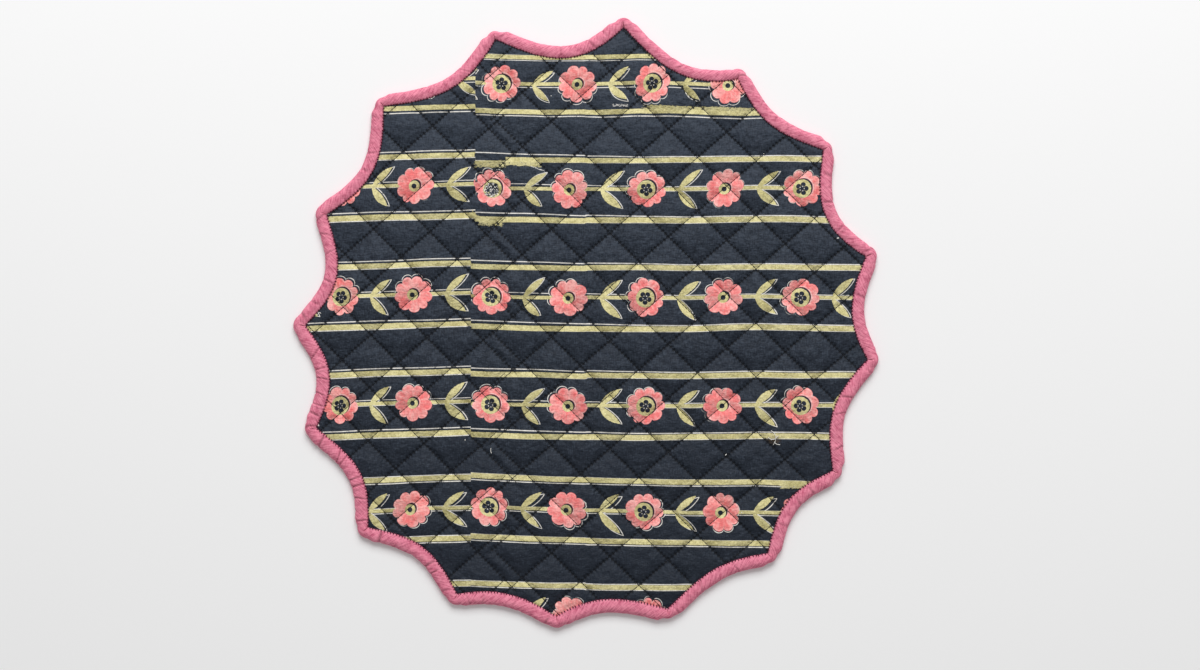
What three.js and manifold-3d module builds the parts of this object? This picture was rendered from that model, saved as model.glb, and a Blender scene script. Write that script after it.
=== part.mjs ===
// Round quilted placemat with a scalloped edge, lying flat on its back.
// Two sewn pieces: the quilted panel, and the bias strip that is folded round its edge.
// Millimetres, +Z up, the underside at z = 0 and the middle of the mat at the origin.

import * as THREE from "three";
import { mergeVertices } from "three/addons/utils/BufferGeometryUtils.js";
import Module from "manifold-3d";

const wasm = await Module();
wasm.setup();

// The line where the strip meets the panel, as sixteen scallops between pointed corners.
// Each row is a corner and the scallop that follows it anticlockwise.
// bearing: degrees from +X. reach: distance from the middle. dip: depth of the scallop.
// deepest: where along its chord the scallop is deepest. strip: the strip's width halfway along it.
// corner: the strip's width round the corner, where it is pulled tight.
const SCALLOPS = [
  { bearing: 13.5, reach: 188.9, dip: 14.7, deepest: 0.47, strip: 7.8, corner: 7.2 },
  { bearing: 36.2, reach: 192.9, dip: 9.5, deepest: 0.52, strip: 7.8, corner: 5.9 },
  { bearing: 58.3, reach: 189.1, dip: 12.9, deepest: 0.44, strip: 7.3, corner: 6.4 },
  { bearing: 82.8, reach: 196.1, dip: 16.6, deepest: 0.46, strip: 8.0, corner: 6.1 },
  { bearing: 107.7, reach: 195.7, dip: 12.7, deepest: 0.48, strip: 7.6, corner: 5.6 },
  { bearing: 132.9, reach: 194.8, dip: 13.4, deepest: 0.51, strip: 8.0, corner: 5.8 },
  { bearing: 157.2, reach: 184.5, dip: 14.1, deepest: 0.52, strip: 8.2, corner: 7.3 },
  { bearing: 180.4, reach: 184.2, dip: 12.3, deepest: 0.5, strip: 8.9, corner: 7.9 },
  { bearing: 201.1, reach: 189.6, dip: 11.9, deepest: 0.53, strip: 8.9, corner: 7.5 },
  { bearing: 223.1, reach: 195.8, dip: 11.2, deepest: 0.5, strip: 8.6, corner: 7.1 },
  { bearing: 244.5, reach: 196.6, dip: 7.3, deepest: 0.48, strip: 8.5, corner: 7.1 },
  { bearing: 264.3, reach: 193.0, dip: 8.9, deepest: 0.45, strip: 8.9, corner: 7.5 },
  { bearing: 285.9, reach: 194.4, dip: 7.6, deepest: 0.54, strip: 8.2, corner: 6.5 },
  { bearing: 308.3, reach: 192.1, dip: 10.8, deepest: 0.51, strip: 8.5, corner: 6.4 },
  { bearing: 329.2, reach: 188.6, dip: 11.5, deepest: 0.5, strip: 8.5, corner: 5.9 },
  { bearing: 352.8, reach: 186.3, dip: 9.8, deepest: 0.47, strip: 8.3, corner: 7.0 },
];
const SCALLOP_STEPS = 8; // straight runs along one scallop
const CORNER_STEPS = 4; // straight runs round the outside of one corner
const CORNER_EASE = 5; // distance from a corner over which the strip widens again

// The strip's section at its usual width: out is measured from the seam with the panel.
const STRIP = { width: 8.0, crown: 4.6, lip: 3.9, wall: 1.0, fold: 6.2 };
const SLOT_TOP = 2.8; // underside of the strip's upper layer

// The quilted panel: its hem is the pressed edge that the strip wraps.
const SEAM_GAP = 0.3; // between the panel and the strip, all round
const GROOVE_HEIGHT = 2.6; // along a line of quilting
const PUFF_HEIGHT = 4.4; // in the middle of a diamond
const SEAM_HEIGHT = 3.3; // where the panel meets the strip
const SEAM_PINCH = 8.0; // how far in from the seam the puffs are drawn down

// The quilting was sewn in two runs that don't quite meet: one crossing of each, the pitch of the
// crossings along its falling and rising lines, and the slant of those lines in degrees.
const RUNS = {
  left: { x: -67.3, y: -11.4, fallPitch: 25.6, fallSlant: -45.4, risePitch: 25.1, riseSlant: 41.1 },
  right: { x: -60.9, y: -7.0, fallPitch: 26.9, fallSlant: -44.6, risePitch: 25.3, riseSlant: 40.7 },
};
const JOIN = { x: -53.6, halfWidth: 12.4 }; // the upright band where one run gives way to the other
const CROSSINGS = 13; // crossings laid out each way from the first one, more than the mat covers
const PUFF_STEPS = [0, 0.2, 0.5, 0.8]; // shares of a diamond's side where its surface has points

const WELD = 1e-3; // points nearer than this are one point

// Points and directions in the plane

const lerp = THREE.MathUtils.lerp;
const radians = THREE.MathUtils.degToRad;

function polar(reach, bearing) {
  return new THREE.Vector2(reach * Math.cos(radians(bearing)), reach * Math.sin(radians(bearing)));
}

function outward(along) {
  return new THREE.Vector2(along.y, -along.x).normalize();
}

const corners = SCALLOPS.map((row) => polar(row.reach, row.bearing));

// A point of one scallop, at a share of the way along its chord.
function scallopPoint(index, share) {
  const row = SCALLOPS[index];
  const start = corners[index];
  const end = corners[(index + 1) % corners.length];
  const chord = end.clone().sub(start);
  const lean = Math.log(0.5) / Math.log(row.deepest);
  const depth = row.dip * Math.sin(Math.PI * Math.pow(share, lean));
  return start.clone().addScaledVector(chord, share).addScaledVector(outward(chord), -depth);
}

// The outward direction of one scallop's line at a share of its chord.
function scallopNormal(index, share) {
  const step = 0.01;
  const before = scallopPoint(index, Math.max(share - step, 0));
  const after = scallopPoint(index, Math.min(share + step, 1));
  return outward(after.sub(before));
}

// The strip's width at a share of the way along one scallop.
function stripWidth(index, share) {
  const nextIndex = (index + 1) % SCALLOPS.length;
  const chord = corners[index].distanceTo(corners[nextIndex]);
  const tight = SCALLOPS[share < 0.5 ? index : nextIndex].corner;
  const fromCorner = chord * Math.min(share, 1 - share);
  const ease = THREE.MathUtils.smoothstep(fromCorner, 0, CORNER_EASE);
  return lerp(tight, SCALLOPS[index].strip, ease);
}

// The seam as a list of stations: a foot on the seam, the outward direction and the strip's width.
// A corner has one foot with a fan of directions.
function seamStations() {
  const stations = [];
  SCALLOPS.forEach((row, index) => {
    const previous = (index + SCALLOPS.length - 1) % SCALLOPS.length;
    const arriving = scallopNormal(previous, 1).angle();
    const leaving = scallopNormal(index, 0).angle();
    const turn = THREE.MathUtils.euclideanModulo(leaving - arriving, 2 * Math.PI);
    for (let k = 0; k <= CORNER_STEPS; k++) {
      const angle = arriving + (turn * k) / CORNER_STEPS;
      const out = new THREE.Vector2(Math.cos(angle), Math.sin(angle));
      const mitre = k === CORNER_STEPS / 2 ? 1 / Math.cos(turn / 2) : 0;
      stations.push({ foot: corners[index], out, width: row.corner, mitre });
    }
    for (let k = 1; k < SCALLOP_STEPS; k++) {
      const share = k / SCALLOP_STEPS;
      const foot = scallopPoint(index, share);
      const width = stripWidth(index, share);
      stations.push({ foot, out: scallopNormal(index, share), width, mitre: 1 });
    }
  });
  return stations;
}

// The middle of the box round the strip's outer edge is the mat's middle.
const stations = seamStations();
const box = new THREE.Box2().setFromPoints(
  stations.map((s) => s.foot.clone().addScaledVector(s.out, s.width)),
);
const middle = box.getCenter(new THREE.Vector2());
corners.forEach((corner) => corner.sub(middle));
stations.filter((s) => !corners.includes(s.foot)).forEach((s) => s.foot.sub(middle));

// The seam moved inwards, with each corner kept as one mitred point.
function insetLine(distance) {
  return stations
    .filter((s) => s.mitre > 0)
    .map((s) => s.foot.clone().addScaledVector(s.out, -distance * s.mitre));
}

// The edge of the panel's hem, inside the fold of the strip.
function hemLine() {
  return stations.map((s) => {
    const reach = (STRIP.fold * s.width) / STRIP.width - SEAM_GAP;
    return s.foot.clone().addScaledVector(s.out, reach);
  });
}

// Closed meshes and solids

function closedGeometry(points, faces) {
  const geometry = new THREE.BufferGeometry();
  geometry.setAttribute("position", new THREE.Float32BufferAttribute(points, 3));
  geometry.setIndex(faces);
  return geometry;
}

function toSolid(geometry) {
  const bare = geometry.clone();
  bare.deleteAttribute("normal");
  bare.deleteAttribute("uv");
  const merged = mergeVertices(bare, WELD);
  const vertProperties = new Float32Array(merged.attributes.position.array);
  const triVerts = new Uint32Array(merged.index.array);
  return new wasm.Manifold(new wasm.Mesh({ numProp: 3, vertProperties, triVerts }));
}

function toGeometry(solid) {
  const mesh = solid.getMesh();
  return closedGeometry(Array.from(mesh.vertProperties), Array.from(mesh.triVerts));
}

// An upright block on a closed line, from one height to another.
function block(line, low, high) {
  const shape = new THREE.Shape(line);
  const geometry = new THREE.ExtrudeGeometry(shape, { depth: high - low, bevelEnabled: false });
  return toSolid(geometry.translate(0, 0, low));
}

// The height of the quilted surface

function runPoint(run, i, j) {
  const fall = polar(run.fallPitch, run.fallSlant);
  const rise = polar(run.risePitch, run.riseSlant);
  return new THREE.Vector2(run.x, run.y).addScaledVector(fall, i).addScaledVector(rise, j);
}

// A place on the panel from its number of crossings along the falling and the rising lines.
function quiltPoint(i, j) {
  const left = runPoint(RUNS.left, i, j);
  const right = runPoint(RUNS.right, i, j);
  const x = (left.x + right.x) / 2;
  const start = JOIN.x - JOIN.halfWidth;
  return left.lerp(right, THREE.MathUtils.smoothstep(x, start, JOIN.x + JOIN.halfWidth));
}

function puff(share) {
  return Math.sqrt(Math.sin(Math.PI * share));
}

const wallLine = insetLine(SEAM_GAP);

function distanceToWall(point) {
  let nearest = Infinity;
  const foot = new THREE.Vector3();
  const run = new THREE.Line3();
  const from = new THREE.Vector3(point.x, point.y, 0);
  wallLine.forEach((start, k) => {
    const end = wallLine[(k + 1) % wallLine.length];
    run.start.set(start.x, start.y, 0);
    run.end.set(end.x, end.y, 0);
    run.closestPointToPoint(from, true, foot);
    nearest = Math.min(nearest, foot.distanceTo(from));
  });
  return nearest;
}

function quiltHeight(point, fallShare, riseShare) {
  const free = lerp(GROOVE_HEIGHT, PUFF_HEIGHT, puff(fallShare) * puff(riseShare));
  return lerp(SEAM_HEIGHT, free, THREE.MathUtils.smoothstep(distanceToWall(point), 0, SEAM_PINCH));
}

// A block with the quilted surface on top, wider than the mat and reaching below it.
function quiltedBlock() {
  const steps = PUFF_STEPS.length;
  const side = 2 * CROSSINGS * steps + 1;
  const layer = side * side;
  const floor = -1;
  const top = [];
  const bottom = [];
  for (let row = 0; row < side; row++) {
    for (let column = 0; column < side; column++) {
      const fallShare = PUFF_STEPS[row % steps];
      const riseShare = PUFF_STEPS[column % steps];
      const i = Math.floor(row / steps) - CROSSINGS + fallShare;
      const j = Math.floor(column / steps) - CROSSINGS + riseShare;
      const point = quiltPoint(i, j);
      top.push(point.x, point.y, quiltHeight(point, fallShare, riseShare));
      bottom.push(point.x, point.y, floor);
    }
  }
  const faces = [];
  const quad = (a, b, c, d) => faces.push(a, b, c, a, c, d);
  for (let row = 0; row < side - 1; row++) {
    for (let column = 0; column < side - 1; column++) {
      const a = row * side + column;
      const [b, c, d] = [a + side, a + side + 1, a + 1];
      const sameHalf = row % steps < steps / 2 === column % steps < steps / 2;
      if (sameHalf) quad(a, b, c, d);
      else quad(b, c, d, a);
      quad(layer + a, layer + d, layer + c, layer + b);
    }
  }
  for (let k = 0; k < side - 1; k++) {
    const last = side - 1;
    const edges = [
      [k * side, (k + 1) * side],
      [last * side + k, last * side + k + 1],
      [(last - k) * side + last, (last - k - 1) * side + last],
      [last - k, last - k - 1],
    ];
    edges.forEach(([from, to]) => quad(from, layer + from, layer + to, to));
  }
  return toSolid(closedGeometry([...top, ...bottom], faces));
}

// The quilted cloth inside the seam, with its rim at one height all along the strip.
function quiltedField() {
  const cut = quiltedBlock().intersect(block(wallLine, 0, PUFF_HEIGHT + 1));
  const geometry = toGeometry(cut);
  const { position } = geometry.attributes;
  for (let k = 0; k < position.count; k++) {
    const point = new THREE.Vector2(position.getX(k), position.getY(k));
    const onWall = distanceToWall(point) < 10 * WELD;
    if (onWall && position.getZ(k) > GROOVE_HEIGHT / 2) position.setZ(k, SEAM_HEIGHT);
  }
  return toSolid(geometry);
}

// The quilted panel is the field and the thin pressed hem under the strip, in one cloth.
function quiltedPanel() {
  const hem = block(hemLine(), STRIP.wall + SEAM_GAP, SLOT_TOP - SEAM_GAP);
  return toGeometry(quiltedField().add(hem));
}

// The strip's section as pairs of out and height: its underside, its round outside as shares of the
// width and the crown, its lip, and the slot that holds the hem.
function stripSection() {
  const { width, crown, lip, wall, fold } = STRIP;
  return [
    [0, 0],
    [0.76 * width, 0],
    [0.94 * width, 0.15 * crown],
    [width, 0.45 * crown],
    [0.93 * width, 0.76 * crown],
    [0.72 * width, 0.95 * crown],
    [0.42 * width, crown],
    [0.16 * width, 0.95 * crown],
    [0, lip],
    [0, SLOT_TOP],
    [fold, SLOT_TOP],
    [fold, wall],
    [0, wall],
  ];
}

// The bias strip is its section carried along the seam and closed on itself.
function biasBinding() {
  const section = stripSection();
  const points = [];
  for (const { foot, out, width } of stations) {
    for (const [reach, height] of section) {
      const place = foot.clone().addScaledVector(out, (reach * width) / STRIP.width);
      points.push(place.x, place.y, height);
    }
  }
  const faces = [];
  const different = (a, b) => [0, 1, 2].some((k) => points[3 * a + k] !== points[3 * b + k]);
  const triangle = (a, b, c) => {
    if (different(a, b) && different(b, c) && different(c, a)) faces.push(a, b, c);
  };
  stations.forEach((station, s) => {
    const here = s * section.length;
    const there = ((s + 1) % stations.length) * section.length;
    section.forEach((corner, k) => {
      const next = (k + 1) % section.length;
      triangle(here + k, there + next, here + next);
      triangle(here + k, there + k, there + next);
    });
  });
  return closedGeometry(points, faces);
}

// Cloth materials

const navyCotton = new THREE.MeshStandardMaterial({ color: 0x2c3640, roughness: 0.9, metalness: 0 });
const pinkCotton = new THREE.MeshStandardMaterial({ color: 0xd4758f, roughness: 0.85, metalness: 0 });

function piece(name, geometry, material) {
  geometry.computeVertexNormals();
  const mesh = new THREE.Mesh(geometry, material);
  mesh.name = name;
  return mesh;
}

const placemat = new THREE.Group();
placemat.add(piece("quilted_panel", quiltedPanel(), navyCotton));
placemat.add(piece("bias_binding", biasBinding(), pinkCotton));

export default placemat;
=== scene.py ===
import math

import bpy
import numpy as np
from bpy.props import FloatProperty, FloatVectorProperty, PointerProperty
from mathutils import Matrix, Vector


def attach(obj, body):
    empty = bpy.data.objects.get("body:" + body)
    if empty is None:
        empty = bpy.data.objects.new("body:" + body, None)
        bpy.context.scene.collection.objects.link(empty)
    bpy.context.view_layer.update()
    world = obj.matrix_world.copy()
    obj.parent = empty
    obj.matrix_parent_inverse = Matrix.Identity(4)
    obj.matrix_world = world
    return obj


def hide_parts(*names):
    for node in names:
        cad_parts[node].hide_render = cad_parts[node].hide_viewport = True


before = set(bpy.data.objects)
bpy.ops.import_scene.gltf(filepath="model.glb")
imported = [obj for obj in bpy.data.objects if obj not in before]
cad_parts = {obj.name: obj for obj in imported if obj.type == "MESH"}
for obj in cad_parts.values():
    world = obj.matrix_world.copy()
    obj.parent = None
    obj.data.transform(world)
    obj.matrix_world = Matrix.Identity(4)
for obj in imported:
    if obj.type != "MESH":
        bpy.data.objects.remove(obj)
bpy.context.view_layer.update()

bl_info = {
    "name": "Quilted placemat",
    "version": (1, 0, 0),
    "blender": (4, 5, 0),
    "location": "3D View > Sidebar > Placemat",
    "description": "Sews a scalloped, block-printed and quilted placemat round its packed frame",
    "category": "Add Mesh",
}

MM = 0.001  # metres in a millimetre

# The line where the strip meets the panel: sixteen scallops between pointed corners, in millimetres
# and degrees. bearing and reach place a corner; the scallop that follows it anticlockwise is dip
# deep, deepest at that share of its chord; strip and corner are the strip's widths along the
# scallop and round the corner.
SCALLOPS = np.array([
    # bearing, reach, dip, deepest, strip, corner
    (13.5, 188.9, 14.7, 0.47, 7.8, 7.2),
    (36.2, 192.9, 9.5, 0.52, 7.8, 5.9),
    (58.3, 189.1, 12.9, 0.44, 7.3, 6.4),
    (82.8, 196.1, 16.6, 0.46, 8.0, 6.1),
    (107.7, 195.7, 12.7, 0.48, 7.6, 5.6),
    (132.9, 194.8, 13.4, 0.51, 8.0, 5.8),
    (157.2, 184.5, 14.1, 0.52, 8.2, 7.3),
    (180.4, 184.2, 12.3, 0.50, 8.9, 7.9),
    (201.1, 189.6, 11.9, 0.53, 8.9, 7.5),
    (223.1, 195.8, 11.2, 0.50, 8.6, 7.1),
    (244.5, 196.6, 7.3, 0.48, 8.5, 7.1),
    (264.3, 193.0, 8.9, 0.45, 8.9, 7.5),
    (285.9, 194.4, 7.6, 0.54, 8.2, 6.5),
    (308.3, 192.1, 10.8, 0.51, 8.5, 6.4),
    (329.2, 188.6, 11.5, 0.50, 8.5, 5.9),
    (352.8, 186.3, 9.8, 0.47, 8.3, 7.0),
])
CORNER_EASE = 5.0  # distance from a corner over which the strip widens again
STRIP_WIDTH = 8.0  # the width that the strip's section is drawn at
HEM_REACH = 5.9  # how far the hem goes into the strip, at that width
HEM = (1.35, 2.45)  # heights of the hem's two faces inside the strip
SEAM_HEIGHT, RIM_HEIGHT = 2.62, 3.25  # heights of the face in the seam and just inside it
DEEP = 25.0  # stands for any distance this far inside the seam
RIM_REACH, RIM_WINDOW = 145.0, 0.16  # beyond that reach the seam is near, within that turn
MAT_REACH = 200.0  # no corner of the seam is further from the middle
HEM_EXTRA = 2.0  # and the hem's corners go at most this far past it

# The quilting was sewn in two runs: one crossing of each, and the pitch and slant of its falling
# and rising lines. Between them, from where the right run starts to where the left one ends, both
# are sewn.
RUNS = {
    "left": {"x": -67.3, "y": -11.4, "fall": (25.6, -45.4), "rise": (25.1, 41.1)},
    "right": {"x": -60.9, "y": -7.0, "fall": (26.9, -44.6), "rise": (25.3, 40.7)},
}
RUN_ENDS = {("left", "fall"): -45.7, ("left", "rise"): -52.9,
            ("right", "fall"): -59.5, ("right", "rise"): -62.8}
JOIN = (-53.6, 12.4)  # middle and half width of the band where the surface's grid changes over
CROSSINGS = 13  # lines of quilting on each side of a run's own crossing
STITCH_SHIFT = 0.37  # how far each line's stitches are out of step with the line before
LINE_STITCHES = 140  # stitches on each side of a line's middle, enough to pass the mat's edge
# Where the surface's own lines cross a diamond, as shares of its side; the far half mirrors them
FACE_STEPS = (0, .022, .055, .095, .14, .19, .245, .305, .37, .435)
BACK_STEPS = (0, .1, .22, .36)

# The print: rows of flowers on a stem between two stripes.
PITCH = 50.9  # from flower to flower
PERIOD = 70.0  # from row to row
STRIPE = 19.8  # from a row's middle to its two stripes, as the block is cut
BED = 12.0  # half the height of the band round a stem that keeps its shape where stripes wander
# Middle height of each row, heights of its upper and lower stripes, and how far it is shifted along
ROWS = np.array([
    (157.0, 174.1, 138.8, 5.9),
    (88.0, 106.9, 67.5, 0.8),
    (16.9, 36.4, -3.5, 0.0),
    (-54.0, -34.3, -74.6, -0.3),
    (-123.6, -103.7, -143.6, -1.2),
    (-192.6, -173.3, -212.5, 2.5),
])
# Where a row's flowers stand along it, and the number of the first of these places
FLOWER_PLACES = (-207.0, -160.4, -113.6, -62.1, -11.3, 39.4, 90.2, 141.0, 192.0)
FIRST_FLOWER = -3
BLOCK_EDGE = -75.4  # where the left printing block's repeat ends and the next begins
BLOCK_STEP = (45.0, 65.0, 3.0)  # between those heights that edge steps this far to the right
# How far the white outlines lie from the colours, along and up, and how far they stand off the
# stripes, for each row: left of the block edge, right of it, and far to the right
MISFITS = (
    ((0.2, -1.0, 0.5), (-0.5, -0.6, 0.4), (-0.5, -1.3, 0.4)),
    ((0.1, 0.6, 0.8), (-0.7, 1.3, 0.9), (-0.2, 0.2, 0.15)),
    ((0.1, 0.6, 0.8), (-0.7, 1.3, 0.9), (-0.3, 0.2, 0.15)),
    ((0.1, 0.5, 0.8), (-0.6, 1.1, 0.8), (-0.2, 0.3, 0.3)),
    ((0.3, -0.3, 0.5), (0.5, -0.6, 0.4), (0.6, -0.5, 0.3)),
    ((0.2, 0.3, 0.3), (0.2, -0.3, 0.3), (0.2, 0.2, 0.3)),
)
# Where the print failed: middle, half length, half width and slope of each smear of slipped dye
SMEARS = (
    (-62.8, 104.1, 10.2, 2.2, 0.0),
    (-41.5, 104.3, 12.0, 1.5, -0.05),
    (-62.5, 65.6, 8.0, 1.9, -0.06),
    (-71.0, 68.4, 3.4, 2.6, -0.8),
    (76.0, 140.5, 38.0, 1.3, -0.03),
    (141.0, -107.0, 13.5, 1.7, 0.0),
)
BARE = (-62.8, 108.6, 10.4, 2.3)  # middle and half sides of the stretch of stripe without dye
TORN = (22.5, 142.6, 5.5, 0.9)  # the same of the torn white marks below the top row
DRAG = (-38.5, 103.6)  # middle of the white line that the slipped block dragged
SCRIBBLE = (-62.0, 87.2)  # middle of the eye that came out as a scribble
STAIN = (123.0, -77.0)  # middle of the brown stain beside the loose threads


# Sizes and colours

def length(label, text, value, low=0.0, high=0.1):
    """A size in metres."""
    return FloatProperty(name=label, description=text, default=value, min=low, max=high,
                         precision=5, subtype="DISTANCE", unit="LENGTH")


def shade(label, text, red, green, blue):
    """A colour given as the eight-bit values that a picture of it has."""
    linear = [((c / 255 + 0.055) / 1.055) ** 2.4 for c in (red, green, blue)]
    return FloatVectorProperty(name=label, description=text, default=linear, size=3, min=0, max=1,
                               subtype="COLOR")


class PlacematSizes(bpy.types.PropertyGroup):
    """Sizes of the sewn work."""
    puff: length("Puff height", "Height of the cloth in the middle of a diamond", 0.0050)
    groove: length("Groove height", "Height of the cloth along a line of quilting", 0.0019)
    wrinkle: length("Wrinkles", "Depth of the small wrinkles in the puffs", 0.00048)
    stitch_pitch: length("Quilting stitch", "Length from one quilting stitch to the next", 0.0027)
    stitch_thread: length("Quilting thread", "Thickness of the quilting thread", 0.00055)
    edge_pitch: length("Edge stitch", "Length from one stitch of the strip to the next", 0.0020)
    edge_thread: length("Edge thread", "Thickness of the thread that sews the strip", 0.00072)
    crown: length("Strip height", "Height of the strip's rounded top", 0.0046)
    gather: length("Gathers", "Depth of the folds across the strip", 0.0010)


class PlacematColours(bpy.types.PropertyGroup):
    """Colours of the cloth, the print and the thread."""
    ground: shade("Ground", "Navy ground of the print", 33, 40, 51)
    # This colour also carries painted light: the ground turns towards it towards the top of the mat
    ground_worn_and_lit: shade("Worn ground", "Navy where the dye is thin", 54, 62, 74)
    outline: shade("Outline", "Pale outlines of the print", 234, 230, 222)
    leaf: shade("Leaf", "Stripes, stems and leaves", 228, 219, 164)
    leaf_deep: shade("Deep leaf", "Stripes, stems and leaves where the dye is thick", 184, 174, 114)
    petal: shade("Petal", "Petals where the dye is thick", 243, 120, 120)
    petal_pale: shade("Pale petal", "Petals where the dye is thin", 255, 192, 186)
    ink: shade("Ink", "Dark lines and rosettes in the flowers", 34, 40, 54)
    strip: shade("Strip", "Pink cotton of the strip", 240, 146, 168)
    strip_deep: shade("Deep strip", "Pink cotton in its deeper places", 190, 88, 116)
    quilting: shade("Quilting thread", "Dark thread of the quilting", 13, 17, 25)
    # Partly the pink thread's own colour, darkened to a wine red as painted shade round the stitches
    # at the strip's inner edge
    edging: shade("Edge thread", "Thread that sews the strip down", 82, 24, 46)
    stain: shade("Stain", "Brownish stain by the loose threads", 112, 92, 66)
    lint: shade("Lint", "Pale specks of thread left on the cloth", 236, 234, 228)
    floor: shade("Floor", "Plain pale surface under the mat", 250, 250, 250)


class PlacematStudio(bpy.types.PropertyGroup):
    """Light and camera."""
    distance: length("Camera distance", "Height of the camera over the mat", 1.6, 0.2, 10)
    view: length("View width", "Width of what the camera sees at the mat", 0.7864, 0.1, 5)
    key: FloatProperty(name="Key light", description="Power of the soft light beyond the top edge",
                       default=58.0, min=0, unit="POWER")
    fill: FloatProperty(name="Fill light", description="Strength of the light from all round",
                        default=0.38, min=0)


# Plain sums on arrays

def ease(value, start, end):
    """Rises smoothly from 0 at start to 1 at end."""
    t = np.clip((value - start) / (end - start), 0, 1)
    return t * t * (3 - 2 * t)


def mix(a, b, share):
    """From a at share 0 to b at share 1."""
    return a + (b - a) * share


def polar(reach, bearing):
    """Points from their reach and their bearing in degrees."""
    turn = np.radians(bearing)
    return np.stack([reach * np.cos(turn), reach * np.sin(turn)], axis=-1)


def dot(a, b):
    """Dot products of rows of points in the plane."""
    return (a * b).sum(-1)


def lengths(line):
    """How far along a closed line each of its points lies, and the line's whole length."""
    runs = np.linalg.norm(np.roll(line, -1, axis=0) - line, axis=1)
    return np.concatenate([[0], np.cumsum(runs)])


def ripple(x, y, seed):
    """Smooth unevenness from -1 to 1, with its bumps about one unit apart."""
    table = np.random.default_rng(seed).uniform(-1, 1, (256, 256))
    i, j = np.floor(x).astype(int), np.floor(y).astype(int)
    u, v = ease(x - i, 0, 1), ease(y - j, 0, 1)
    i, j = i % 255, j % 255
    near = mix(table[i, j], table[i + 1, j], u)
    far = mix(table[i, j + 1], table[i + 1, j + 1], u)
    return mix(near, far, v)


# The seam between the strip and the panel

def outward(along):
    """Unit directions to the right of the given ones."""
    out = np.stack([along[..., 1], -along[..., 0]], axis=-1)
    return out / np.linalg.norm(out, axis=-1, keepdims=True)


def scallop_points(index, share):
    """Points of one scallop at shares of the way along its chord."""
    _, _, dip, deepest, _, _ = SCALLOPS[index]
    corners = polar(SCALLOPS[:, 1], SCALLOPS[:, 0])
    start, end = corners[index], corners[(index + 1) % len(corners)]
    lean = math.log(0.5) / math.log(deepest)
    depth = dip * np.sin(np.pi * np.power(share, lean))
    return start + share[:, None] * (end - start) - depth[:, None] * outward(end - start)


def scallop_normals(index, share):
    """Outward directions of one scallop's line."""
    step = 0.01
    before = scallop_points(index, np.maximum(share - step, 0))
    return outward(scallop_points(index, np.minimum(share + step, 1)) - before)


def seam_stations(scallop_steps, corner_steps):
    """The seam as stations: foot, outward direction, strip width, and how far from a mitre.

    A corner has one foot with a fan of directions. fold is 0 in the middle of a corner's fan, up
    to 1 at its ends, and 2 elsewhere.
    """
    parts = []
    ends = np.array([0.0, 1.0])
    fan = np.linspace(0, 1, corner_steps + 1)
    share = np.arange(1, scallop_steps) / scallop_steps
    for index, (_, _, _, _, strip, corner) in enumerate(SCALLOPS):
        arriving = scallop_normals(index - 1, ends)[1]
        leaving = scallop_normals(index, ends)[0]
        start = math.degrees(math.atan2(arriving[1], arriving[0]))
        end = math.degrees(math.atan2(leaving[1], leaving[0]))
        corners = scallop_points(index, ends)
        parts.append((np.repeat(corners[:1], len(fan), axis=0),
                      polar(1.0, start + (end - start) % 360 * fan),
                      np.full(len(fan), corner), np.abs(2 * fan - 1)))
        tight = np.where(share < 0.5, corner, SCALLOPS[(index + 1) % len(SCALLOPS), 5])
        gap = np.linalg.norm(corners[1] - corners[0]) * np.minimum(share, 1 - share)
        parts.append((scallop_points(index, share), scallop_normals(index, share),
                      mix(tight, strip, ease(gap, 0, CORNER_EASE)), np.full(len(share), 2.0)))
    feet, outs, widths, folds = (np.concatenate(part) for part in zip(*parts))
    edge = feet + outs * widths[:, None]
    return feet - (edge.min(0) + edge.max(0)) / 2, outs, widths, folds


def nearest_on(line, points):
    """How far inside a closed anticlockwise line the points are, and their nearest places on it.

    Every place on the line shows from the middle. Points well inside it all count as DEEP.
    """
    reach, bearing = np.linalg.norm(points, axis=1), np.arctan2(points[:, 1], points[:, 0])
    turn = np.arctan2(line[:, 1], line[:, 0])
    order = np.argsort(turn)
    limit = np.interp(bearing, turn[order], np.linalg.norm(line[order], axis=1),
                      period=2 * np.pi)
    run = np.roll(line, -1, axis=0) - line
    real = np.linalg.norm(run, axis=1) > 1e-6
    start, run, turn = line[real], run[real], turn[real]
    inside, places = np.full(len(points), DEEP), points.copy()
    rim = np.flatnonzero(reach > RIM_REACH)
    rim = rim[np.argsort(bearing[rim])]
    for first in range(0, len(rim), 1000):
        part = rim[first:first + 1000]
        low, high = bearing[part[0]] - RIM_WINDOW, bearing[part[-1]] + RIM_WINDOW
        near = (turn - low) % (2 * np.pi) < high - low
        origin, way = start[near], run[near]
        gap = points[part, None] - origin
        along = np.clip((gap * way).sum(-1) / (way * way).sum(-1), 0, 1)
        off = gap - along[..., None] * way
        square = (off * off).sum(-1)
        best = square.argmin(1)
        rows = np.arange(len(best))
        places[part] = origin[best] + along[rows, best][:, None] * way[best]
        distance = np.sqrt(square[rows, best])
        inside[part] = np.where(reach[part] < limit[part], distance, -distance)
    return inside, places


# The quilting

def lattice(name):
    """One run's crossing, and its falling and rising steps."""
    run = RUNS[name]
    return np.array([run["x"], run["y"]]), polar(*run["fall"]), polar(*run["rise"])


def quilt_grid(i, j):
    """Places on the panel from numbers of steps along the falling and the rising lines."""
    spots = []
    for name in RUNS:
        origin, fall, rise = lattice(name)
        spots.append(origin + i[..., None] * fall + j[..., None] * rise)
    x = (spots[0][..., 0] + spots[1][..., 0]) / 2
    share = ease(x, JOIN[0] - JOIN[1], JOIN[0] + JOIN[1])
    return mix(spots[0], spots[1], share[..., None])


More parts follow.
